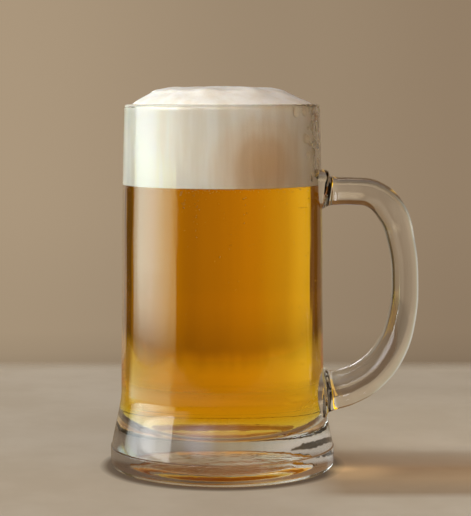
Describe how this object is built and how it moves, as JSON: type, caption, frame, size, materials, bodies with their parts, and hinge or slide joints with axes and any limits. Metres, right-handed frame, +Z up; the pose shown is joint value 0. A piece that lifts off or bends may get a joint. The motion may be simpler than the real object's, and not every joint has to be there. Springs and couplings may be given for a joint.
{
  "type": "pint of beer in a glass tankard",
  "caption": "Pint of golden lager with a tall white head of foam, in a clear, heavy-footed glass tankard with a D-shaped handle.",
  "frame": {"origin": "middle of the footprint on the table, with the handle counted; the tankard's own upright axis stands 18.3 mm to -X of it", "axes": "+Z up, +X towards the handle; the part is the same on both sides of the XZ plane but for soft ripples on the foam"},
  "size_m": [0.1354, 0.0988, 0.1675],
  "materials": {
    "clear_glass": "smooth, clear and glossy",
    "lager": "clear golden amber liquid",
    "foam_head": "fine matte cream-white foam"
  },
  "bodies": {
    "root": {"glass_mug": "clear_glass", "beer": "lager", "foam": "foam_head"}
  },
  "joints": []
}
